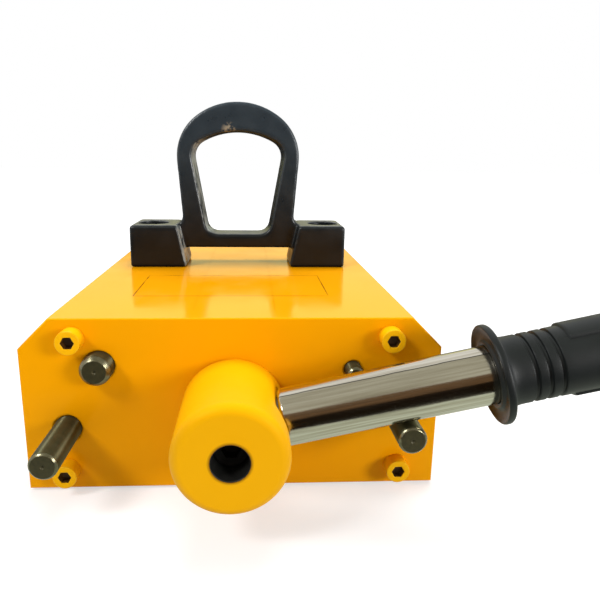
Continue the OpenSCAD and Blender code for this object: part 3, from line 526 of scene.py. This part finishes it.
# The paint is dull underneath and low on the walls, where it was sprayed dry, and shines most on top.
under_sheen = add(cast_tree, "ShaderNodeMapRange", {},
                  {"Value": cast_up.outputs["Z"], "From Min": -0.5, "From Max": 0.0,
                   "To Min": 0.05, "To Max": 0.5})
low_sheen = add(cast_tree, "ShaderNodeMapRange", {},
                {"Value": cast_axes.outputs["Z"], "From Min": foot_z, "From Max": neck_z, "To Min": 0.55})
wall_sheen = add(cast_tree, "ShaderNodeMath", {"operation": "MAXIMUM"},
                 {0: low_sheen.outputs["Result"], 1: up_facing.outputs["Result"]})
cast_sheen = add(cast_tree, "ShaderNodeMath", {"operation": "MULTIPLY"},
                 {0: under_sheen.outputs["Result"], 1: wall_sheen.outputs["Value"]})
cast_tree.links.new(cast_sheen.outputs["Value"], cast_shader.inputs["Specular IOR Level"])
cast_rough = add(cast_tree, "ShaderNodeMapRange", {},
                 {"Value": lumps.outputs["Fac"], "From Min": 0.3, "From Max": 0.7,
                  "To Min": 0.26, "To Max": 0.4})
cast_tree.links.new(cast_rough.outputs["Result"], cast_shader.inputs["Roughness"])
cast_fine = add(cast_tree, "ShaderNodeBump", {},
                {"Strength": 0.35, "Distance": 0.12 * MM, "Height": sand.outputs["Fac"]})
cast_wide = add(cast_tree, "ShaderNodeBump", {},
                {"Strength": 0.4, "Distance": 0.5 * MM, "Height": lumps.outputs["Fac"],
                 "Normal": cast_fine.outputs["Normal"]})
cast_tree.links.new(cast_wide.outputs["Normal"], cast_shader.inputs["Normal"])
make_piece(bm, "cast_lifting_eye", "housing", [cast], ["lifting_eye"])

# Eye screws: two large steel socket head screws, black oxide, sunk in the feet of the eye.
# They go down into the pole blocks and carry the whole load.

# Black oxide under old oil and dust, painted darker and duller than plain oxide as the shade deep in the
# recesses: a dull black with hardly any shine.
oily_and_recess_shade, _, oily_shader, _ = mottled("dull_black_oxide_and_recess_shade", 4, 4.0, "#0C0C0D", "#1B1B19")
oily_shader.inputs["Roughness"].default_value = 0.75
oily_shader.inputs["Specular IOR Level"].default_value = 0.1
bm = from_cad("eye_screws")
round_edges(bm, 0.6, 2, lambda m: m.z > BORE_FLOOR + 2.5)
make_piece(bm, "eye_socket_screws", "housing", [oily_and_recess_shade], ["eye_screws"])

# Lever hub: turned from steel bar, keyed on the rotor shaft, brush painted bright yellow.
# The deep hole in its front, where the holding screw sits, and the pocket where the lever rod enters are
# bare, with their walls painted dark as the shade deep inside them. A flat is milled where the lever rod
# enters.
bush_low, bush_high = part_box("front_bush")
AXIS_Z = (bush_low.z + bush_high.z) / 2 / MM
HUB_HOLE_R, ROD_R = 8.5, 10.0
HUB_FRONT_Y = FACE_Y - 20.0
LEVER_REACH, LEVER_ANGLE, LEVER_LEAN = 24.0, 13.3, 2.7

# Brush enamel: a warm yellow, half dull, darker brown in a soft ring round the hole.
yellow, yellow_tree, yellow_shader, yellow_place, yellow_colour = enamel(
    "yellow_enamel", "#EFAE02", "#EAA702", "#FFC530", 0.45)
hub_flat = add(yellow_tree, "ShaderNodeMapping", {},
               {"Vector": yellow_place, "Scale": (1.0, 0.0, 1.0), "Location": (0.0, 0.0, -AXIS_Z * MM)})
hub_out = add(yellow_tree, "ShaderNodeVectorMath", {"operation": "LENGTH"}, {0: hub_flat.outputs["Vector"]})
hub_rim = add(yellow_tree, "ShaderNodeMapRange", {},
              {"Value": hub_out.outputs["Value"], "From Min": (HUB_HOLE_R + 1.9) * MM,
               "From Max": (HUB_HOLE_R + 0.5) * MM, "To Max": 0.8})
hub_tone = add(yellow_tree, "ShaderNodeMix", {"data_type": "RGBA"},
               {0: hub_rim.outputs["Result"], 6: yellow_colour, 7: linear("#5A2A08")})
yellow_tree.links.new(hub_tone.outputs[2], yellow_shader.inputs["Base Color"])
lever_place = (Matrix.Translation(Vector((0, FACE_Y - LEVER_REACH, AXIS_Z)) * MM)
               @ Matrix.Rotation(math.radians(-LEVER_ANGLE), 4, "Y")
               @ Matrix.Rotation(math.radians(-LEVER_LEAN), 4, "Z")
               @ Matrix.Rotation(math.radians(90), 4, "Y"))
back_to_lever = lever_place.inverted()
bm = from_cad("hub")
round_edges(bm, 0.45, 2,
            lambda m: m.y < HUB_FRONT_Y and math.hypot(m.x, m.z - AXIS_Z) > HUB_HOLE_R + 0.5)
# Painted shade: the walls of the screw hole and of the rod pocket take the dark oxide finish.
for face in bm.faces:
    off_axis = max(math.hypot(v.co.x, v.co.z - AXIS_Z * MM) / MM for v in face.verts)
    off_lever = max((back_to_lever @ v.co).xy.length / MM for v in face.verts)
    face.material_index = 1 if off_axis < HUB_HOLE_R + 0.6 or off_lever < ROD_R + 0.4 else 0
make_piece(bm, "lever_hub", "lever", [yellow, oxide_and_hole_shade], ["hub"])

# Lever tube: steel pipe, rolled, welded, chromed and pushed over the lever rod. Its inner end is rounded.
# It runs from just off the hub's flat into the grip.
TUBE_START, TUBE_END, TUBE_R, TUBE_BORE = 25.0, 225.0, 14.0, 10.1
TUBE_STEPS, TUBE_RINGS, RING_STEP = 96, 13, 15.0


def turned_form(profile, steps, place):
    # Spins a half outline of (radius, distance along) in millimetres about the lever's own line.
    bm = bmesh.new()
    points = [bm.verts.new((r * MM, 0, s * MM)) for r, s in profile]
    edges = [bm.edges.new(pair) for pair in zip(points, points[1:])]
    bmesh.ops.spin(bm, geom=points + edges, cent=(0, 0, 0), axis=(0, 0, 1), angle=2 * math.pi, steps=steps,
                   use_merge=True, use_duplicate=False)
    bmesh.ops.remove_doubles(bm, verts=bm.verts, dist=0.001 * MM)
    bmesh.ops.transform(bm, matrix=place, verts=bm.verts)
    return bm


end_r = (TUBE_R - TUBE_BORE) / 2
end_s = TUBE_START + end_r
tube_profile = [(TUBE_BORE, TUBE_END), (TUBE_BORE, end_s)]
tube_profile += [(TUBE_BORE + end_r - end_r * math.cos(math.radians(a)),
                  end_s - end_r * math.sin(math.radians(a))) for a in range(15, 180, 15)]
tube_profile += [(TUBE_R, end_s + RING_STEP * k) for k in range(TUBE_RINGS)]
tube_profile += [(TUBE_R, TUBE_END), (TUBE_BORE, TUBE_END)]
bm = turned_form(tube_profile, TUBE_STEPS, lever_place)

# Chrome plate on drawn pipe: a slightly warm mirror, waved and lined along its length by the drawing.
# Real drawing lines are some tenths wide; they are drawn 1.5 mm wide so that they show.
chrome, chrome_tree, chrome_shader, chrome_place = start_finish("chrome_plate")
along_tube = add(chrome_tree, "ShaderNodeMapping", {"vector_type": "TEXTURE"},
                 {"Vector": chrome_place, "Location": lever_place.translation,
                  "Rotation": lever_place.to_euler()})
streak_space = add(chrome_tree, "ShaderNodeMapping", {},
                   {"Vector": along_tube.outputs["Vector"], "Scale": (1.0, 1.0, 0.03)})
streaks = add(chrome_tree, "ShaderNodeTexNoise", {},
              {"Vector": streak_space.outputs["Vector"], "Scale": every(1.5), "Detail": 4.0})
chrome_rough = add(chrome_tree, "ShaderNodeMapRange", {},
                   {"Value": streaks.outputs["Fac"], "From Min": 0.3, "From Max": 0.7,
                    "To Min": 0.1, "To Max": 0.22})
chrome_tree.links.new(chrome_rough.outputs["Result"], chrome_shader.inputs["Roughness"])
streak_tone = add(chrome_tree, "ShaderNodeMapRange", {},
                  {"Value": streaks.outputs["Fac"], "From Min": 0.35, "From Max": 0.65})
plate_tone = add(chrome_tree, "ShaderNodeMix", {"data_type": "RGBA"},
                 {0: streak_tone.outputs["Result"], 6: linear("#D0CBBD"), 7: linear("#B2AB9A")})

# The long weld seam shows through the plate as a thin dark line that wanders a little.
haze = add(chrome_tree, "ShaderNodeTexNoise", {},
           {"Vector": along_tube.outputs["Vector"], "Scale": every(14), "Detail": 5.0})
tube_axes = add(chrome_tree, "ShaderNodeSeparateXYZ", {}, {"Vector": along_tube.outputs["Vector"]})
seam_wander = add(chrome_tree, "ShaderNodeMapRange", {},
                  {"Value": haze.outputs["Fac"], "To Min": -5.6 * MM, "To Max": -4.6 * MM})
seam_off = add(chrome_tree, "ShaderNodeMath", {"operation": "SUBTRACT"},
               {0: tube_axes.outputs["Y"], 1: seam_wander.outputs["Result"]})
seam_gap = add(chrome_tree, "ShaderNodeMath", {"operation": "ABSOLUTE"}, {0: seam_off.outputs["Value"]})
seam_near = add(chrome_tree, "ShaderNodeMapRange", {},
                {"Value": seam_gap.outputs["Value"], "From Min": 0.45 * MM, "From Max": 0.1 * MM})
seam_above = add(chrome_tree, "ShaderNodeMath", {"operation": "LESS_THAN"},
                 {0: tube_axes.outputs["X"], 1: 0.0})
seam = add(chrome_tree, "ShaderNodeMath", {"operation": "MULTIPLY"},
           {0: seam_near.outputs["Result"], 1: seam_above.outputs["Value"]})
seam_tone = add(chrome_tree, "ShaderNodeMix", {"data_type": "RGBA"},
                {0: seam.outputs["Value"], 6: plate_tone.outputs[2], 7: linear("#57524A")})
chrome_tree.links.new(seam_tone.outputs[2], chrome_shader.inputs["Base Color"])
wave_space = add(chrome_tree, "ShaderNodeMapping", {},
                 {"Vector": along_tube.outputs["Vector"], "Scale": (1.0, 1.0, 0.22)})
waves = add(chrome_tree, "ShaderNodeTexNoise", {},
            {"Vector": wave_space.outputs["Vector"], "Scale": every(6), "Detail": 2.0})
chrome_wave = add(chrome_tree, "ShaderNodeBump", {},
                  {"Strength": 0.5, "Distance": 0.12 * MM, "Height": waves.outputs["Fac"]})
chrome_bump = add(chrome_tree, "ShaderNodeBump", {},
                  {"Strength": 0.15, "Distance": 0.05 * MM, "Height": streaks.outputs["Fac"],
                   "Normal": chrome_wave.outputs["Normal"]})
chrome_tree.links.new(chrome_bump.outputs["Normal"], chrome_shader.inputs["Normal"])
chrome_shader.inputs["Metallic"].default_value = 1.0
make_piece(bm, "chromed_lever_tube", "lever", [chrome], ["lever_tube"])

# Grip: black rubber moulded in one piece and pushed on the tube. A dished hand guard, three ring grooves,
# and two long raised pads, above and below.
GUARD_R, GRIP_R, GRIP_BORE = 24.0, 16.35, 14.1
GRIP_START, GRIP_END, END_ROUND = 126.0, 234.0, 5.0
GROOVES, GROOVE_START, GROOVE_STEP = 3, GRIP_START + 16.0, 6.0
PAD_START, PAD_END, PAD_RINGS, PAD_HALF_DEG = GRIP_START + 35.6, GRIP_END - 9.0, 30, 34.5
guard_outline = [(GRIP_BORE, 2.0), (14.3, 0.5), (14.9, 0.1), (15.7, 0.0), (16.3, 0.3), (16.7, 1.0),
                 (17.4, 1.5), (19.0, 1.7), (21.0, 1.3), (22.3, 0.6), (23.0, 0.25), (23.5, 0.3), (23.85, 0.7),
                 (GUARD_R, 1.4), (GUARD_R, 2.4), (23.85, 3.1), (23.4, 3.7), (22.5, 4.0), (20.4, 4.2),
                 (18.7, 4.7), (17.7, 5.5), (17.1, 6.6), (16.7, 8.0), (16.45, 9.8), (GRIP_R, 12.0)]
groove_outline = [(0.0, -0.6), (0.25, -0.25), (1.15, 0.0), (1.4, 0.8), (1.15, 1.6), (0.25, 1.85), (0.0, 2.2)]
grip_profile = [(GRIP_BORE, TUBE_END)] + [(r, GRIP_START + s) for r, s in guard_outline]
for k in range(GROOVES):
    grip_profile += [(GRIP_R - deep, GROOVE_START + GROOVE_STEP * k + s) for deep, s in groove_outline]
grip_profile += [(GRIP_R, PAD_START - 1.6)]
grip_profile += [(GRIP_R, PAD_START + (PAD_END - PAD_START) * k / PAD_RINGS) for k in range(PAD_RINGS + 1)]
grip_profile += [(GRIP_R, PAD_END + 2.5)]
grip_profile += [(GRIP_R - END_ROUND + END_ROUND * math.cos(math.radians(a)),
                  GRIP_END - END_ROUND + END_ROUND * math.sin(math.radians(a))) for a in range(0, 91, 15)]
grip_profile += [(0, GRIP_END)]
bm = turned_form(grip_profile, TUBE_STEPS, Matrix.Identity(4))
bmesh.ops.recalc_face_normals(bm, faces=bm.faces)
for side in (-1, 1):
    pad = []
    for face in bm.faces:
        spot = face.calc_center_median()
        around = abs(math.degrees(math.atan2(spot.y, side * spot.x)))
        on_skin = PAD_START < spot.z / MM < PAD_END and spot.xy.length / MM > GRIP_R - 0.3
        if on_skin and around < PAD_HALF_DEG:
            pad.append(face)
    bmesh.ops.inset_region(bm, faces=pad, thickness=0.5 * MM, depth=0.75 * MM, use_even_offset=True)
    bmesh.ops.inset_region(bm, faces=pad, thickness=0.6 * MM, depth=0.4 * MM, use_even_offset=True)
bmesh.ops.transform(bm, matrix=lever_place, verts=bm.verts)

# Moulded rubber: a soft green-black, satin where hands have polished it and duller where it has bloomed.
# The real mould grain is about 0.2 mm; it is drawn 0.8 mm wide so that it shows.
rubber, rubber_tree, rubber_shader, rubber_place = start_finish("moulded_rubber")
pebble = add(rubber_tree, "ShaderNodeTexNoise", {},
             {"Vector": rubber_place, "Scale": every(0.8), "Detail": 3.0})
bloom = add(rubber_tree, "ShaderNodeTexNoise", {},
            {"Vector": rubber_place, "Scale": every(20), "Detail": 4.0})
rubber_tone = add(rubber_tree, "ShaderNodeMix", {"data_type": "RGBA"},
                  {0: bloom.outputs["Fac"], 6: linear("#111414"), 7: linear("#191D1D")})
rubber_tree.links.new(rubber_tone.outputs[2], rubber_shader.inputs["Base Color"])
rubber_rough = add(rubber_tree, "ShaderNodeMapRange", {},
                   {"Value": bloom.outputs["Fac"], "From Min": 0.3, "From Max": 0.7,
                    "To Min": 0.4, "To Max": 0.52})
rubber_tree.links.new(rubber_rough.outputs["Result"], rubber_shader.inputs["Roughness"])
rubber_bump = add(rubber_tree, "ShaderNodeBump", {},
                  {"Strength": 0.25, "Distance": 0.05 * MM, "Height": pebble.outputs["Fac"]})
rubber_tree.links.new(rubber_bump.outputs["Normal"], rubber_shader.inputs["Normal"])
rubber_shader.inputs["Specular IOR Level"].default_value = 0.3
make_piece(bm, "rubber_grip", "lever", [rubber], ["grip"])

# Studio: a white sweep under and behind the object, lit by three soft boxes and a plain white surround.
# Dark and tinted cards stand round it as a photographer places them. Only reflections see them.
FLOOR_HALF = 6.0
floor_mesh = bpy.data.meshes.new("floor")
bm = bmesh.new()
bmesh.ops.create_grid(bm, x_segments=1, y_segments=1, size=FLOOR_HALF)
bm.to_mesh(floor_mesh)
bm.free()
floor = bpy.data.objects.new("floor", floor_mesh)
bpy.context.scene.collection.objects.link(floor)

# White paper sweep: matt, with a soft shadow near the object, and clean white farther out.
sweep, sweep_tree, sweep_shader, sweep_place = start_finish("white_sweep")
sweep_shader.inputs["Base Color"].default_value = linear("#C2C2C2")
sweep_shader.inputs["Roughness"].default_value = 0.9
sweep_shader.inputs["Specular IOR Level"].default_value = 0.0
rays = add(sweep_tree, "ShaderNodeLightPath", {}, {})
seen = add(sweep_tree, "ShaderNodeMath", {"operation": "MAXIMUM"},
           {0: rays.outputs["Is Camera Ray"], 1: rays.outputs["Is Glossy Ray"]})
from_middle = add(sweep_tree, "ShaderNodeVectorMath", {"operation": "LENGTH"}, {0: sweep_place})
far_white = add(sweep_tree, "ShaderNodeMapRange", {"interpolation_type": "SMOOTHSTEP"},
                {"Value": from_middle.outputs["Value"], "From Min": 0.3, "From Max": 1.1,
                 "To Min": 0.55, "To Max": 0.9})
glow = add(sweep_tree, "ShaderNodeMath", {"operation": "MULTIPLY"},
           {0: seen.outputs["Value"], 1: far_white.outputs["Result"]})
sweep_tree.links.new(glow.outputs["Value"], sweep_shader.inputs["Emission Strength"])
sweep_shader.inputs["Emission Color"].default_value = (1, 1, 1, 1)
floor_mesh.materials.append(sweep)


def glowing_card(name, code):
    # Card that shows one even tone in a reflection, whatever light falls on it.
    card, _, card_shader, _ = start_finish(name)
    card_shader.inputs["Base Color"].default_value = linear("#000000")
    card_shader.inputs["Specular IOR Level"].default_value = 0.0
    card_shader.inputs["Emission Color"].default_value = linear(code)
    card_shader.inputs["Emission Strength"].default_value = 1.0
    return card


floor_card = glowing_card("floor_card", "#D2DAC8")
dark_card = glowing_card("dark_card", "#1C140C")
brown_card = glowing_card("brown_card", "#74593F")
grey_card = glowing_card("grey_card", "#C2C0B1")
buff_card = glowing_card("buff_card", "#F8F6B4")
stone_card = glowing_card("stone_card", "#8E8C82")
FLAT, UPRIGHT = 0.0, 90.0
for name, size, middle, tilt, card_finish in (
        ("near_card", (2.4, 0.18), (0.0, -0.18, 0.003), FLAT, floor_card),
        ("front_card", (3.0, 1.23), (0.0, -0.885, 0.004), FLAT, dark_card),
        ("low_card", (3.0, 0.17), (0.0, -1.5, 0.085), UPRIGHT, dark_card),
        ("mid_card", (3.0, 0.7), (0.0, -1.5, 0.52), UPRIGHT, brown_card),
        ("high_card", (4.0, 3.1), (0.0, -1.1, 1.6), FLAT, grey_card),
        ("back_card", (4.0, 0.36), (0.0, 1.4, 0.47), UPRIGHT, buff_card),
        ("foot_card", (4.0, 0.29), (0.0, 1.4, 0.145), UPRIGHT, stone_card),
        ("left_card", (0.9, 0.34), (-0.8, 1.38, 0.17), UPRIGHT, dark_card),
        ("right_card", (0.9, 0.34), (0.8, 1.38, 0.17), UPRIGHT, stone_card),
        ("rear_card", (4.0, 1.1), (0.0, 0.82, 0.004), FLAT, dark_card)):
    bm = bmesh.new()
    bmesh.ops.create_grid(bm, x_segments=1, y_segments=1, size=0.5)
    bmesh.ops.scale(bm, vec=(size[0], size[1], 1), verts=bm.verts)
    bmesh.ops.rotate(bm, cent=(0, 0, 0), matrix=Matrix.Rotation(math.radians(tilt), 3, "X"), verts=bm.verts)
    bmesh.ops.translate(bm, vec=middle, verts=bm.verts)
    card_mesh = bpy.data.meshes.new(name)
    bm.to_mesh(card_mesh)
    bm.free()
    card_mesh.materials.append(card_finish)
    card = bpy.data.objects.new(name, card_mesh)
    bpy.context.scene.collection.objects.link(card)
    card.visible_camera = False
    card.visible_diffuse = False
    card.visible_shadow = False

# White surround: full white to the camera and in reflections, a third of that as light on the object.
world = bpy.data.worlds.new("studio")
bpy.context.scene.world = world
world.use_nodes = True
sky_tree = world.node_tree
sky_rays = add(sky_tree, "ShaderNodeLightPath", {}, {})
sky_seen = add(sky_tree, "ShaderNodeMath", {"operation": "MAXIMUM"},
               {0: sky_rays.outputs["Is Camera Ray"], 1: sky_rays.outputs["Is Glossy Ray"]})
sky_all = add(sky_tree, "ShaderNodeMath", {"operation": "MAXIMUM"},
              {0: sky_seen.outputs["Value"], 1: sky_rays.outputs["Is Transmission Ray"]})
sky_level = add(sky_tree, "ShaderNodeMapRange", {},
                {"Value": sky_all.outputs["Value"], "To Min": 0.345, "To Max": 1.0})
backdrop = sky_tree.nodes["Background"]
backdrop.inputs["Color"].default_value = (1, 1, 1, 1)
sky_tree.links.new(sky_level.outputs["Result"], backdrop.inputs["Strength"])

# Soft boxes: a low one right, a high one left, and a wide one above that reflections do not see.
for name, spot, aim, size, power in (
        ("right_box", (0.94, -0.85, 0.36), (0.02, -0.15, 0.05), 0.35, 8.0),
        ("left_box", (-0.78, -0.7, 0.94), (0.0, -0.15, 0.05), 0.3, 8.0),
        ("top_box", (0.1, 0.2, 1.25), (0.0, 0.0, 0.0), 0.7, 15.0)):
    lamp = bpy.data.lights.new(name, "AREA")
    lamp.size = size
    lamp.energy = power
    box = bpy.data.objects.new(name, lamp)
    box.location = spot
    box.rotation_euler = (Vector(aim) - Vector(spot)).to_track_quat("-Z", "Y").to_euler()
    box.visible_glossy = name != "top_box"
    bpy.context.scene.collection.objects.link(box)

# Camera: a little to the right of the middle, close to the lever end, looking slightly down and right.
# The lens is shifted a little right and down, as in a picture that is cropped off its middle.
PHOTO_PX, FOCAL_PX, SENSOR = 600, 552.124, 36.0
CAMERA_SPOT = (8.29, -424.03, 178.45)
pitch, yaw, roll = math.radians(12.968), math.radians(3.109), math.radians(0.7185)
ahead = Vector((math.sin(yaw) * math.cos(pitch), math.cos(yaw) * math.cos(pitch), -math.sin(pitch)))
level_right = Vector((math.cos(yaw), -math.sin(yaw), 0))
level_up = level_right.cross(ahead)
right = level_right * math.cos(roll) + level_up * math.sin(roll)
up = level_up * math.cos(roll) - level_right * math.sin(roll)
lens = bpy.data.cameras.new("camera")
lens.sensor_width = SENSOR
lens.lens = SENSOR * FOCAL_PX / PHOTO_PX
lens.shift_x = 0.03532
lens.shift_y = -0.02906
camera = bpy.data.objects.new("camera", lens)
turn = Matrix((right, up, -ahead)).transposed().to_4x4()
camera.matrix_world = Matrix.Translation(Vector(CAMERA_SPOT) * MM) @ turn
bpy.context.scene.collection.objects.link(camera)
bpy.context.scene.camera = camera
bpy.context.scene.view_settings.view_transform = "Standard"
